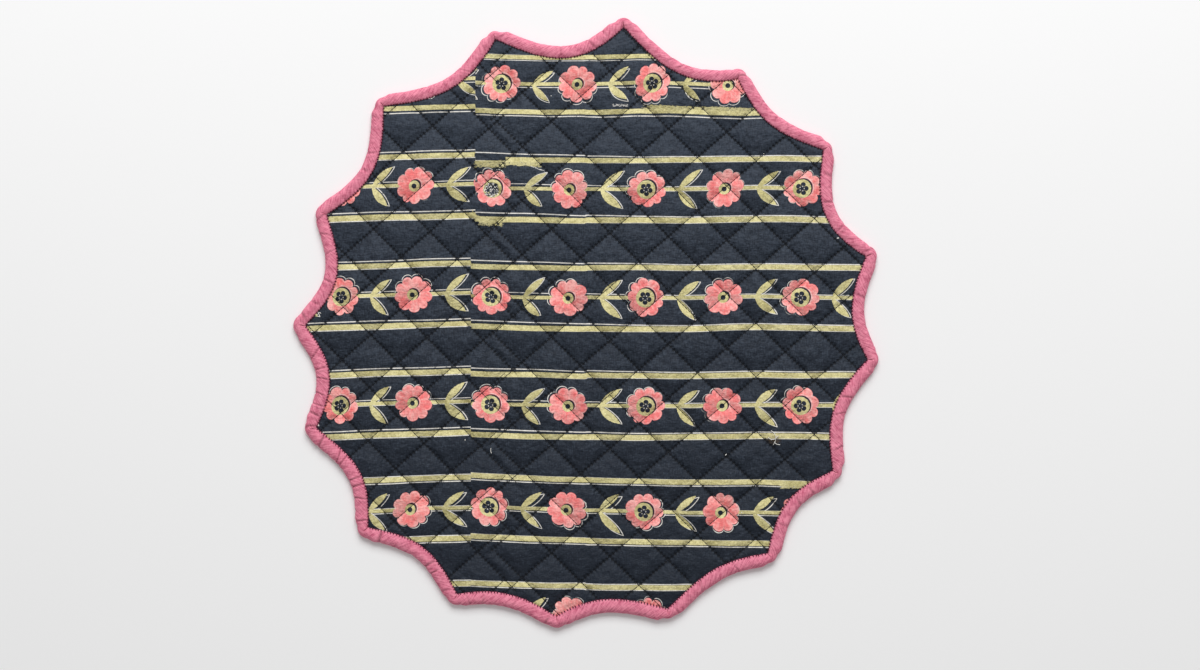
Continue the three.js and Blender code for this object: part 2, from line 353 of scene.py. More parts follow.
def line_distances(points, name):
    """Distances from the nearest falling line and the nearest rising line of one run."""
    origin, fall, rise = lattice(name)
    i, j = np.linalg.solve(np.stack([fall, rise], axis=1), (points - origin).T)
    area = abs(fall[0] * rise[1] - fall[1] * rise[0])
    to_fall = np.abs(j - np.round(j)) * area / np.linalg.norm(fall)
    to_rise = np.abs(i - np.round(i)) * area / np.linalg.norm(rise)
    return to_fall, to_rise


def sewn_line(name, kind):
    """A crossing on one line, its direction, the direction across and the gap to the next line."""
    origin, fall, rise = lattice(name)
    way, step = (fall, rise) if kind == "fall" else (rise, fall)
    unit = way / np.linalg.norm(way)
    across = np.array([-unit[1], unit[0]])
    across = across * np.sign(dot(step, across))
    return origin, unit, across, dot(step, across)


def quilt_lines(points):
    """Distances from the nearest sewn falling line and the nearest sewn rising line."""
    nearest = []
    for family in (0, 1):
        found = np.full(len(points), np.inf)
        for (name, kind), end in RUN_ENDS.items():
            if kind != ("fall", "rise")[family]:
                continue
            past = points[:, 0] - end if name == "left" else end - points[:, 0]
            distance = line_distances(points, name)[family]
            # Past its end a line fades out
            found = np.minimum(found, distance + 6 * ease(past, 0, 5))
        nearest.append(found)
    return nearest


def puffed(points):
    """How far the wadding swells the cloth, from 0 along the quilting to 1."""
    span, soon = 25.2, 3.4  # from line to line, and how soon the cloth rises beside a line
    swell = 1.0
    for distance in quilt_lines(points):
        share = np.clip(distance / span, 0, 0.5)
        steep = 1 - np.exp(-distance / soon)
        swell = swell * (0.55 * steep + 0.45 * np.sin(np.pi * share))
    return swell


def face_height(points, inside, sizes):
    """Height of the printed face; inside is the distance from the seam."""
    swell = puffed(points)
    x, y = points.T
    uneven = 1 + 0.10 * ripple(x / 30, y / 30, 3)
    free = sizes.groove / MM + (sizes.puff - sizes.groove) / MM * swell * uneven
    bands = ripple(x / 11 + 0.4 * ripple(x / 20, y / 9, 5), y / 3.6, 7)
    creases = ripple(x / 3.2, y / 15, 11)
    small = ripple(x / 2.4, y / 2.4, 13)
    lift = (0.75 * bands + 0.45 * creases + 0.3 * small) * np.sqrt(swell)
    free = free + sizes.wrinkle / MM * lift
    rim = mix(SEAM_HEIGHT, RIM_HEIGHT, ease(inside, 0, 1.2))
    height = mix(rim, free, ease(inside, 0.4, 8))
    under = mix(HEM[1], SEAM_HEIGHT, ease(inside, -1.0, 0))
    return np.where(inside > 0, height, under)


def back_height(points, inside):
    """Height of the plain back, which lies flat but for its quilting."""
    free = 0.75 * (1 - ease(puffed(points), 0.0, 0.5))
    return mix(HEM[0], free, ease(inside, -0.8, 3.0))


# The print

def print_places(points, left):
    """Where places lie in one block's print, as flower and row numbers, and their misfit.

    left is true for the block left of the block edge, and false for the one right of it.
    """
    x, y = points.T
    far = np.clip(x - BLOCK_EDGE, 0, None)
    top = ease(y, 112, 135)  # 1 in the top row, which was printed a little askew
    if left:
        tilt = 2.5 + 0.031 * (x - BLOCK_EDGE) + 0.004 * y
    else:
        low = mix(1.0, 0.6, ease(-y, 150, 165)) * ease(-y, 88, 98)
        tilt = 0.6 * np.exp(-far / 18) - 0.9 * np.abs(np.sin(np.pi * far / 190))
        tilt = tilt + 0.022 * (52 - x) * low
        tilt = tilt + top * (0.8 * ease(x, 5, 35) - 2.3 * ease(x, 48, 105))
    height = y - tilt - 0.45 - 0.45 * ripple(x / 34, y / 40, 21)
    marks = np.array([-STRIPE, -BED, BED, STRIPE]) / PERIOD
    levels, numbers = [], []
    for number, (middle, upper, lower, _) in enumerate(ROWS):
        levels += [upper, middle + BED, middle - BED, lower]
        numbers += (number + marks).tolist()
    v = np.interp(-height, -np.array(levels), numbers)
    v = v - np.clip(height - levels[0], 0, None) / PERIOD
    shift = np.interp(v, np.arange(len(ROWS)), ROWS[:, 3])
    wander = 0.5 * ripple(x / 40, y / 30, 23)
    knots = np.arange(len(FLOWER_PLACES)) + FIRST_FLOWER
    u = np.interp(x - shift - wander + 0.028 * x * top, FLOWER_PLACES, knots)
    row = np.clip(np.round(v).astype(int), 0, len(ROWS) - 1)
    table = np.array(MISFITS)[row]
    fade = ease(far, 5, 150)[:, None]
    misfit = table[:, 0] if left else mix(table[:, 1], table[:, 2], fade)
    return u, -v, misfit


# Meshes

def clear_selection():
    """Deselects everything, so that an operator acts on the new piece alone."""
    if bpy.context.object and bpy.context.object.mode != "OBJECT":
        bpy.ops.object.mode_set(mode="OBJECT")
    bpy.ops.object.select_all(action="DESELECT")


def new_piece(name, points, faces):
    """A smooth mesh object from points in millimetres, at the origin."""
    mesh = bpy.data.meshes.new(name)
    mesh.from_pydata([tuple(p) for p in np.asarray(points, float) * MM], [], faces)
    mesh.validate()
    mesh.polygons.foreach_set("use_smooth", np.ones(len(mesh.polygons), bool))
    mesh.update()
    piece = bpy.data.objects.new(name, mesh)
    bpy.context.scene.collection.objects.link(piece)
    return piece


def point_values(piece, name, kind, values):
    """Keeps a value for each point of a mesh as an attribute."""
    attribute = piece.data.attributes.new(name, kind, "POINT")
    field = {"FLOAT": "value", "FLOAT_VECTOR": "vector"}[kind]
    attribute.data.foreach_set(field, np.asarray(values, np.float32).ravel())


def set_uv(piece, name, uv):
    """Lays a UV map from one pair of values for each point."""
    layer = piece.data.uv_layers.new(name=name)
    loops = np.empty(len(piece.data.loops), np.int32)
    piece.data.loops.foreach_get("vertex_index", loops)
    layer.data.foreach_set("uv", np.asarray(uv, np.float32)[loops].ravel())


def dress(piece, *materials):
    """Gives a piece its materials and lets it ride on the mat's one body."""
    for material in materials:
        piece.data.materials.append(material)
    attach(piece, "root")
    return piece


def both_sides(steps):
    """Shares of a diamond's side, closer together by its two ends."""
    return np.array([*steps, 0.5, *[1 - s for s in reversed(steps[1:])]])


def whole_cells(keep):
    """Rows and columns of a grid's whole cells, with none left that touch at one corner alone."""
    cells = keep[:-1, :-1] & keep[1:, :-1] & keep[1:, 1:] & keep[:-1, 1:]
    while True:
        around = np.pad(cells, 1)
        a, b, c, d = around[:-1, :-1], around[1:, :-1], around[1:, 1:], around[:-1, 1:]
        pinched = (a & c & ~b & ~d) | (b & d & ~a & ~c)
        lone = pinched[:-1, :-1] | pinched[1:, :-1] | pinched[1:, 1:] | pinched[:-1, 1:]
        if not (lone & cells).any():
            return np.nonzero(cells)
        cells &= ~lone


def open_edge(faces):
    """The points round the open edge of a surface, in the order in which its faces run."""
    known = {(face[k - 1], face[k]) for face in faces.tolist() for k in range(4)}
    follows = {a: b for a, b in known if (b, a) not in known}
    rim = [min(follows)]
    while follows[rim[-1]] != rim[0]:
        rim.append(follows[rim[-1]])
    return rim


def cloth_grid(steps, line):
    """Points and faces of the quilting grid inside a line, with its rim drawn onto the line."""
    index = np.arange(-CROSSINGS, CROSSINGS)
    along = (index[:, None] + both_sides(steps)).ravel()
    side = len(along)
    points = quilt_grid(*np.meshgrid(along, along, indexing="ij")).reshape(-1, 2)
    inside, places = np.full(len(points), -1.0), points.copy()
    near = np.linalg.norm(points, axis=1) < MAT_REACH + HEM_EXTRA
    inside[near], places[near] = nearest_on(line, points[near])
    margin = 0.2  # from the line to the nearest of the grid's own points
    row, column = whole_cells((inside > margin).reshape(side, side))
    first = row * side + column
    faces = np.stack([first, first + side, first + side + 1, first + 1], axis=1)
    used, flat = np.unique(faces, return_inverse=True)
    faces = flat.reshape(faces.shape)
    points, places = points[used], places[used]
    rim = open_edge(faces)
    points[rim] = places[rim]
    return points, faces, rim


def tube_faces(rows, columns):
    """Faces of a ring of rows, each of them closed, as an array of rows and columns."""
    number = np.arange(rows * columns).reshape(rows, columns)
    ahead, beside = np.roll(number, -1, axis=0), np.roll(number, -1, axis=1)
    return np.stack([number, beside, np.roll(ahead, -1, axis=1), ahead], axis=-1)


def zip_rims(upper, lower, bearings):
    """Triangles between two closed rims that run the same way round."""
    def turned(rim):
        angles = np.unwrap(bearings[rim])
        if angles[-1] < angles[0]:
            raise RuntimeError("a rim runs clockwise")
        start = int(np.argmin(np.abs((angles + np.pi) % (2 * np.pi) - np.pi)))
        rim = list(rim[start:]) + list(rim[:start])
        angles = np.unwrap(bearings[rim])
        angles -= 2 * np.pi * np.round(angles[0] / (2 * np.pi))
        return rim + rim[:1], np.append(angles, angles[0] + 2 * np.pi)
    (top, high), (bottom, low) = turned(upper), turned(lower)
    a = b = 0
    faces = []
    while a < len(top) - 1 or b < len(bottom) - 1:
        if b == len(bottom) - 1 or (a < len(top) - 1 and high[a + 1] <= low[b + 1]):
            faces.append((top[a + 1], top[a], bottom[b]))
            a += 1
        else:
            faces.append((bottom[b], bottom[b + 1], top[a]))
            b += 1
    return faces


# Materials

class Wire:
    """A number worked out by a material's nodes, used in sums as a plain number is."""

    def __init__(self, cloth, socket):
        self.cloth, self.socket = cloth, socket

    def __add__(self, other):
        return self.cloth.math("ADD", self, other)

    def __sub__(self, other):
        return self.cloth.math("SUBTRACT", self, other)

    def __rsub__(self, other):
        return self.cloth.math("SUBTRACT", other, self)

    def __mul__(self, other):
        return self.cloth.math("MULTIPLY", self, other)

    def __truediv__(self, other):
        return self.cloth.math("DIVIDE", self, other)

    def __pow__(self, other):
        return self.cloth.math("POWER", self, other)

    def __abs__(self):
        return self.cloth.math("ABSOLUTE", self)

    __radd__, __rmul__ = __add__, __mul__


class Cloth:
    """Builds one material from nodes."""

    def __init__(self, name, roughness, **surface):
        self.material = bpy.data.materials.new(name)
        self.material.use_nodes = True
        self.nodes = self.material.node_tree.nodes
        self.links = self.material.node_tree.links
        self.nodes.clear()
        self.shader = self.nodes.new("ShaderNodeBsdfPrincipled")
        self.shader.inputs["Roughness"].default_value = roughness
        for socket, value in surface.items():
            self.shader.inputs[socket.replace("_", " ")].default_value = value
        output = self.nodes.new("ShaderNodeOutputMaterial")
        self.links.new(self.shader.outputs["BSDF"], output.inputs["Surface"])

    def feed(self, socket, value):
        """Links a wire to a socket, or sets a plain value on it."""
        if isinstance(value, Wire):
            self.links.new(value.socket, socket)
        else:
            socket.default_value = value

    def node(self, kind, inputs=(), **settings):
        """A new node with its settings and what feeds its sockets."""
        made = self.nodes.new(kind)
        for key, value in settings.items():
            setattr(made, key, value)
        for key, value in dict(inputs).items():
            self.feed(made.inputs[key], value)
        return made

    def wire(self, kind, inputs=(), output=0, **settings):
        """What a new node puts out."""
        return Wire(self, self.node(kind, inputs, **settings).outputs[output])

    def math(self, operation, *values):
        """One step of arithmetic, by the name that the node has for it."""
        return self.wire("ShaderNodeMath", enumerate(values), operation=operation)

    def most(self, first, *others):
        """The largest of some numbers."""
        for other in others:
            first = self.math("MAXIMUM", first, other)
        return first

    def least(self, first, second):
        """The smaller of two numbers."""
        return self.math("MINIMUM", first, second)

    def far(self, x, y):
        """Distance from the point where x and y are 0."""
        return self.math("SQRT", x * x + y * y)

    def oblong(self, x, y, middle_x, middle_y, wide, tall):
        """0 in the middle of an oblong, and 1 on its sides, which lie wide and tall away."""
        return self.most(abs(x - middle_x) / wide, abs(y - middle_y) / tall)

    def odd(self, number):
        """1 for an odd whole number and 0 for an even one."""
        half = number * 0.5
        return abs(half - self.math("ROUND", half)) * 2

    def step(self, value, start, end):
        """Rises smoothly from 0 at start to 1 at end."""
        return self.wire("ShaderNodeMapRange", {"Value": value, "From Min": start, "From Max": end},
                         "Result", interpolation_type="SMOOTHSTEP")

    def within(self, distance, soft=0.12):
        """1 where a signed distance is below zero, with a soft edge."""
        return self.step(distance, soft, -soft)

    def stroke(self, distance, half, soft=0.12):
        """1 along the line where a distance is zero, and that far on both its sides."""
        return self.within(abs(distance) - half, soft)

    def join(self, x, y, z=0.0):
        """A vector from its three numbers."""
        return self.wire("ShaderNodeCombineXYZ", {"X": x, "Y": y, "Z": z})

    def split(self, vector):
        """The three numbers of a vector."""
        made = self.node("ShaderNodeSeparateXYZ", {0: vector})
        return [Wire(self, made.outputs[k]) for k in range(3)]

    def blotch(self, vector, scale, detail=2.0, roughness=0.5):
        """Cloudy unevenness from 0 to 1."""
        return self.wire("ShaderNodeTexNoise", {
            "Vector": vector, "Scale": scale, "Detail": detail, "Roughness": roughness}, "Fac")

    def chance(self, x, y, w):
        """A number from 0 to 1 that is the same wherever x and y are."""
        return self.wire("ShaderNodeTexWhiteNoise", {"Vector": self.join(x, y, w)}, "Value",
                         noise_dimensions="3D")

    def tint(self, colour):
        """A colour in the form that a colour socket takes."""
        return colour if isinstance(colour, Wire) else (*colour, 1.0)

    def blend(self, share, under, over):
        """One colour laid over another."""
        return self.wire("ShaderNodeMix", {0: share, 6: self.tint(under), 7: self.tint(over)}, 2,
                         data_type="RGBA")

    def either(self, share, first, second):
        """The first vector at share 0, the second at share 1."""
        return self.wire("ShaderNodeMix", {0: share, 4: first, 5: second}, 1, data_type="VECTOR")

    def scale(self, vector, value):
        """A vector or a colour times a number."""
        return self.wire("ShaderNodeVectorMath", {0: vector, "Scale": value}, operation="SCALE")

    def places(self):
        """Object coordinates in millimetres."""
        return self.scale(self.wire("ShaderNodeTexCoord", output="Object"), 1 / MM)

    def uv(self, name):
        """One of the piece's own UV maps."""
        return self.wire("ShaderNodeUVMap", output="UV", uv_map=name)

    def attribute(self, name, output="Fac"):
        """One of the piece's own attributes."""
        return self.wire("ShaderNodeAttribute", output=output, attribute_name=name)

    def finish(self, colour, height, depth):
        """Paints the shader and raises its surface by a height times a depth in metres."""
        self.feed(self.shader.inputs["Base Color"], colour)
        self.feed(self.shader.inputs["Normal"], self.wire(
            "ShaderNodeBump", {"Height": height, "Strength": 1.0, "Distance": depth}, "Normal"))
        return self.material


def weave(cloth, x, y, pitch):
    """Height of a plain weave about 1 high, and its thick and thin threads from 0 to 1."""
    turn = 2 * math.pi / pitch
    wefts = cloth.blotch(cloth.join(x * 0.22, y * 1.55), 1.0, 2.0, 0.62)
    warps = cloth.blotch(cloth.join(x * 1.55, y * 0.22), 1.0, 2.0, 0.62)
    cross = cloth.math("SINE", x * turn) * cloth.math("SINE", y * turn)
    grain = wefts * 0.5 + warps * 0.5
    return cross * 0.2 + grain * 1.6, grain


def seam_shading_and_puckers(cloth, px, py, pitch):
    """Shares of painted shade in the seam's groove, of painted shadows in the needle holes beside it,
    and of the puckers round it.
    """
    line, hole_shadows, pucker = 0.0, 0.0, 0.0
    for (name, kind), end in RUN_ENDS.items():
        origin, unit, across, spacing = sewn_line(name, kind)
        number = (px * across[0] + py * across[1] - dot(origin, across)) / spacing
        whole = cloth.math("ROUND", number)
        off = abs(number - whole) * spacing
        along = (px * unit[0] + py * unit[1] - dot(origin, unit)) / pitch - whole * STITCH_SHIFT
        wave = cloth.math("COSINE", along * (2 * math.pi))
        hole = cloth.step(wave, -0.25, 0.45)
        side = 1 if name == "left" else -1
        sewn = cloth.step((px - end) * side, 0.5, -0.5)
        # Painted shade along the groove, and painted shadows in the needle holes beside it; the
        # puckers only bend the surface
        line = cloth.step(off, 0.36, 0.16) * sewn + line
        hole_shadows = cloth.step(off, 1.35, 0.75) * hole * sewn + hole_shadows
        pucker = cloth.step(off, 2.8, 0.0) * (wave * 0.35 + 0.65) * sewn + pucker
    return cloth.least(line, 1.0), cloth.least(hole_shadows, 1.0), pucker


def petals(cloth, x, y, turn):
    """Signed distance from a flower's edge, the radius, 1 on a lobe to 0 in a notch, the angle."""
    angle, radius = cloth.math("ARCTAN2", y, x), cloth.far(x, y)
    bend = cloth.math("SINE", angle * 2 + turn * 7) * 0.32
    bend = bend + cloth.math("SINE", angle * 3 + turn * 19) * 0.22
    lobe = abs(cloth.math("COSINE", angle * 4.5 + bend + turn * 5))
    wide = cloth.math("SINE", angle * 2 + turn * 11) * 0.45
    edge = wide + (lobe ** 0.55) * 2.6 + 9.75
    return radius - edge, radius, lobe, angle


def leaf_shape(cloth, x, y, base, tip, half, bend):
    """Signed distance from the edge of a leaf between two points."""
    dx, dy = tip[0] - base[0], tip[1] - base[1]
    span = math.hypot(dx, dy)
    dx, dy = dx / span, dy / span
    along = (x * dx + y * dy - (base[0] * dx + base[1] * dy)) / span
    past = (abs(along - 0.5) - 0.5) * span
    along = cloth.most(cloth.least(along, 1.0), 0.0)
    across = y * dx - x * dy - (base[1] * dx - base[0] * dy)
    arch = cloth.math("SINE", along * math.pi)
    fat = cloth.math("SINE", (along ** 1.1) * math.pi)
    side = abs(across - arch * bend) - (cloth.most(fat, 0.0) ** 0.8) * half + 0.02
    return cloth.most(side, past)


def garland(cloth, y, leaf_x, leaf_y, odd):
    """Distances from the middles of the stripes and of the stem, and from the leaves' edge."""
    up = leaf_shape(cloth, leaf_x, leaf_y, (20.2, -1.0), (34.3, 11.4), 2.25, 0.6)
    down_x = leaf_x - odd * (leaf_x - 20.0) * 0.16
    down = leaf_shape(cloth, down_x, leaf_y, (20.2, 0.4), (31.9, -12.8), 2.4, -0.9)
    return abs(abs(y) - STRIPE), abs(y), cloth.least(up, down)


def flower_eye(cloth, x, y, odd, turn, edge):
    """Shares of an eye's shadow, its glint, its disc, its dark mark and the mark's seeds.

    An even flower has a wide disc with a rosette, an odd one a small disc with a dot.
    """
    eye = 6.1 - odd * 2.5
    eye_x, eye_y = x + 0.3, y + 0.35
    from_eye = cloth.far(eye_x, eye_y)
    disc = cloth.within(from_eye - eye + edge * 0.4)
    moon_x, moon_y = eye_x - 0.75, eye_y - 0.6
    from_moon = cloth.far(moon_x, moon_y)
    moon = cloth.within(from_moon - eye - 0.25)
    glint = cloth.stroke(from_moon - eye - 0.75, 0.16)
    glint = glint * cloth.step(moon_x + moon_y * 0.5, 1.0, 4.0)
    star = abs(cloth.math("COSINE", cloth.math("ARCTAN2", eye_y, eye_x) * 2.5 + turn * 4))
    rose = cloth.within(from_eye - (star ** 0.6) * 1.8 - 2.55)
    thread = cloth.stroke(star, 0.12, 0.1) * cloth.step(from_eye, 1.2, 1.9)
    seeds = cloth.stroke(from_eye - 1.5, 0.35) * cloth.step(star, 0.75, 0.95)
    dark = rose * (1 - thread * 0.75) * (1 - odd) + cloth.within(from_eye - 1.65) * odd
    return moon, glint, disc, dark, seeds * (1 - odd)


def print_faults(cloth, px, py, rough):
    """Shares of slipped dye, of dye that took, of torn white lines, of the scribble and of the stain.

    The scribble has two shares, one of ink and one of white.
    """
    torn = cloth.blotch(cloth.join(px * 0.5, py), 0.8, 4.0, 0.75)
    smear = 0.0
    for middle_x, middle_y, wide, tall, slope in SMEARS:
        off_x = abs(px - middle_x) / wide
        off_y = abs(py - (px - middle_x) * slope - middle_y) / tall
        box = cloth.most(off_x ** 3, off_y)
        smear = cloth.most(smear, cloth.step(box + torn * 2.8, 2.42, 2.22))
    smear = smear * cloth.step(rough * 0.7 + torn * 0.3, 0.38, 0.46)
    dyed = cloth.step(cloth.oblong(px, py, *BARE), 0.94, 1.02)
    drag_x, drag_y = px - DRAG[0], py - DRAG[1]
    drag = cloth.stroke(drag_x * 0.342 + drag_y * 0.94, 0.3)  # it falls by 20 degrees
    drag = drag * cloth.step(abs(drag_x), 12.0, 11.0) * cloth.step(torn, 0.46, 0.54)
    marks = cloth.step(cloth.oblong(px, py, *TORN), 1.0, 0.8) * cloth.step(rough, 0.46, 0.54)
    ring = cloth.far(px - SCRIBBLE[0], py - SCRIBBLE[1])
    ring = cloth.step(abs(ring - 2.6), 2.6, 2.2)
    scrawl = cloth.blotch(cloth.join(px, py * 1.4), 0.7, 2.0, 0.6)
    ink, white = (ring * cloth.step(scrawl, low, low + 0.03) for low in (0.43, 0.54))
    stain = cloth.far((px - STAIN[0]) * 0.5916, py - STAIN[1])
    stain = cloth.step(stain + torn * 4.0, 5.6, 3.4) * cloth.step(torn, 0.4, 0.55)
    return smear, dyed, cloth.most(drag, marks * 0.8), ink, white, stain


def printed_cotton(colours, pitch):
    """The block-printed face: navy ground, pale outlines, leaf-green and petal-pink blocks."""
    cloth = Cloth("printed cotton", 0.62, Specular_IOR_Level=0.22)
    spot = cloth.places()
    px, py, _ = cloth.split(spot)
    frayed = cloth.blotch(cloth.join(0.0, py), 0.5, 2.0) * 1.2 - 0.6
    low, high, right = BLOCK_STEP
    block = cloth.step(px + frayed - cloth.step(py, low, high) * right - BLOCK_EDGE, -0.06, 0.06)
    u, v, _ = cloth.split(cloth.either(block, cloth.uv("print_left"), cloth.uv("print_right")))
    miss_x, miss_y, stand = cloth.split(cloth.either(
        block, cloth.attribute("misfit_left", "Vector"), cloth.attribute("misfit_right", "Vector")))
    row, number, pair = cloth.math("ROUND", v), cloth.math("ROUND", u), cloth.math("FLOOR", u)
    x, y = (u - number) * PITCH, (v - row) * PERIOD
    odd, leaf_odd = cloth.odd(number), cloth.odd(pair)
    turn = cloth.chance(number, row, 1.0)

    # Leaves differ in height and lean, and the top row's are shorter
    stretch = cloth.chance(pair, row, 3.0) * 0.16 + cloth.step(row, -0.9, -0.1) * 0.18 + 0.94
    leaf_x = (u - pair) * PITCH
    lean = cloth.chance(pair, row, 5.0) * 0.16 - 0.08
    leaf_y = y * stretch + (leaf_x - 20) * lean

    rough = cloth.blotch(spot, 0.9, 3.0, 0.65)
    edge = rough * 1.1 - 0.55
    coarse = cloth.blotch(spot, 0.11, 3.0, 0.6)
    smear, dyed, torn_lines, scribble, scratch, stain = print_faults(cloth, px, py, rough)

    # Pale outlines, printed first and out of step with the colours
    white_x, white_y = x - miss_x, y - miss_y
    jog_x = cloth.chance(number, row, 7.0) * 1.7 - 0.85
    jog_y = cloth.chance(number, row, 9.0) * 1.5 - 0.75
    stripe, stem, leaves = garland(
        cloth, white_y, leaf_x - miss_x - 1.4, leaf_y - miss_y + 0.6, leaf_odd)
    flower, _, _, _ = petals(cloth, white_x - jog_x, white_y - jog_y, turn)
    line = cloth.most(cloth.stroke(stripe - stand - 1.75, 0.3),
                      cloth.stroke(stem - stand * 0.6 - 1.3, 0.25), cloth.stroke(leaves, 0.26))
    line = line * cloth.step(flower, -0.3, 0.3)
    shown = cloth.step(white_x * miss_x + white_y * miss_y + (coarse - 0.5) * 30, -3, 5)
    line = cloth.most(line, cloth.stroke(flower - 0.35, 0.24) * shown)
    line = cloth.most(line * cloth.step(rough * 0.6 + coarse * 0.6, 0.36, 0.53), torn_lines)

    # Leaf green
    stripe, stem, leaves = garland(cloth, y, leaf_x, leaf_y, leaf_odd)
    green = cloth.most(cloth.within(stripe - 1.68 + edge * 0.4),
                       cloth.within(stem - 1.15 + edge * 0.4), cloth.within(leaves + edge * 0.75))
    green = green * dyed
    vein = cloth.stroke(leaves + 2.3, 0.25) * 0.35

    # Petal pink, paler in streaks, in the notches and along the rim
    flower, radius, lobe, angle = petals(cloth, x, y, turn)
    pink = cloth.within(flower + edge * 0.5)
    notch = cloth.step(lobe, 0.22, 0.05) * cloth.step(radius, 9.0, 11.0)
    streak = cloth.blotch(cloth.join(angle * 5, radius * 0.18, turn * 9), 1.0, 2.0, 0.6)
    wash = streak * 0.5 + coarse * 0.65 + rough * 0.2
    rim = cloth.step(abs(flower + 0.7), 0.5, 0.1) * 0.35
    pale = cloth.least(cloth.step(wash, 0.5, 0.86) * 0.8 + notch * 0.55 + rim, 1.0)
    petal = cloth.blend(pale, colours.petal, colours.petal_pale)
    moon, glint, disc, dark, seeds = flower_eye(cloth, x, y, odd, turn, edge)

    rise, grain = weave(cloth, px, py, 0.55)
    worn = cloth.blotch(cloth.join(px * 0.6, py), 0.24, 4.0, 0.75)
    fleck = cloth.blotch(spot, 0.65, 2.0, 0.7)
    # The ground is painted lighter towards the top, as painted light from the lamp beyond the top
    # edge; the rest of the mix is worn dye, grain and flecks
    share = (worn - 0.5) * 2.2 + (grain - 0.5) * 3.0 + (fleck - 0.5) * 1.0 + py * 0.0024 + 0.40
    ground = cloth.blend(cloth.step(share, 0.0, 1.0), colours.ground, colours.ground_worn_and_lit)
    dye = cloth.blend(cloth.step(coarse * 0.5 + rough * 0.6, 0.4, 0.75),
                      colours.leaf, colours.leaf_deep)
    colour = ground
    for share, over in (
            (line, colours.outline), (cloth.most(green, smear * 0.9), dye),
            (stain * 0.55, colours.stain), (vein * green, colours.leaf_deep), (pink, petal),
            (moon * pink, colours.ink), (glint * pink * 0.8, colours.outline), (disc, dye),
            (dark, colours.ink), (seeds * 0.8, colours.outline),
            (scribble, colours.ink), (scratch, colours.outline)):
        colour = cloth.blend(share, colour, over)
    groove_shade, hole_shadows, pucker = seam_shading_and_puckers(cloth, px, py, pitch)
    bare = 1 - cloth.most(green, pink)
    # Painted shade darkens the cloth along each seam's groove, more on the print than on bare navy
    colour = cloth.scale(colour, ((grain - 0.5) * 1.2 + 1) * (1 - groove_shade * (0.6 - bare * 0.2)))
    # Painted shadows of the needle holes, in the quilting thread's dark colour, almost only on bare
    # navy
    colour = cloth.blend(hole_shadows * (bare * 0.85 + 0.05), colour, colours.quilting)
    crumple = cloth.blotch(spot, 0.34, 3.0, 0.55)
    return cloth.finish(colour, rise * 0.10 + crumple * 1.2 - pucker * 0.34, MM)


def plain_cotton(name, colour, deep, roughness):
    """Plain woven cotton with uneven threads."""
    cloth = Cloth(name, roughness, Sheen_Weight=0.12, Sheen_Roughness=0.5)
    px, py, _ = cloth.split(cloth.places())
    worn = cloth.blotch(cloth.join(px, py), 0.3, 4.0, 0.7)
    tone = cloth.blend(cloth.step(worn, 0.35, 0.7), deep, colour)
    return cloth.finish(tone, weave(cloth, px, py, 0.5)[0], 0.00010)


def strip_cotton(colours):
    """Bias-cut pink cotton: threads slanting across the strip, with painted shade in its folds."""
    cloth = Cloth("pink cotton", 0.75, Specular_IOR_Level=0.2, Sheen_Weight=0.08,
                  Sheen_Roughness=0.4)
    along, across, _ = cloth.split(cloth.uv("strip"))
    x, y = (along + across) * 0.7071, (along - across) * 0.7071
    rise, grain = weave(cloth, x, y, 0.6)
    ribs = cloth.blotch(cloth.join(x * 1.25, y * 0.16), 1.0, 1.0)
    worn = cloth.blotch(cloth.join(along * 0.5, across), 0.3, 3.0, 0.6)
    share = (worn - 0.5) * 0.9 + (grain - 0.5) * 1.2 + (ribs - 0.5) * 1.5 + 0.6
    tone = cloth.blend(cloth.step(share, 0.0, 1.0), colours.strip_deep, colours.strip)
    # The fold attribute is painted shade: darker in the folds' valleys, the mitres' creases and along
    # the stitched inner edge
    fold = cloth.attribute("fold")
    tone = cloth.scale(tone, (grain - 0.5) * 0.5 + 1 - fold * 0.4)
    rumple = cloth.blotch(cloth.join(along, across * 0.5), 0.3, 2.0, 0.5)
    return cloth.finish(tone, rise * 0.07 + ribs * 0.22 + rumple * 0.7, MM)


def thread_cotton(name, colour):
    """Twisted sewing thread."""
    cloth = Cloth(name, 0.7, Specular_IOR_Level=0.2, Sheen_Weight=0.03)
    fuzz = cloth.blotch(cloth.places(), 2.2, 2.0)
    return cloth.finish(cloth.scale(colour, fuzz * 0.8 + 0.6), fuzz, 0.00004)


# Pieces

def seam(steps=68, fan=12):
    """The seam's stations and its hem line."""
    feet, outs, widths, folds = seam_stations(steps, fan)
    hem = feet + outs * (HEM_REACH * widths / STRIP_WIDTH)[:, None]
    return feet, outs, widths, folds, hem


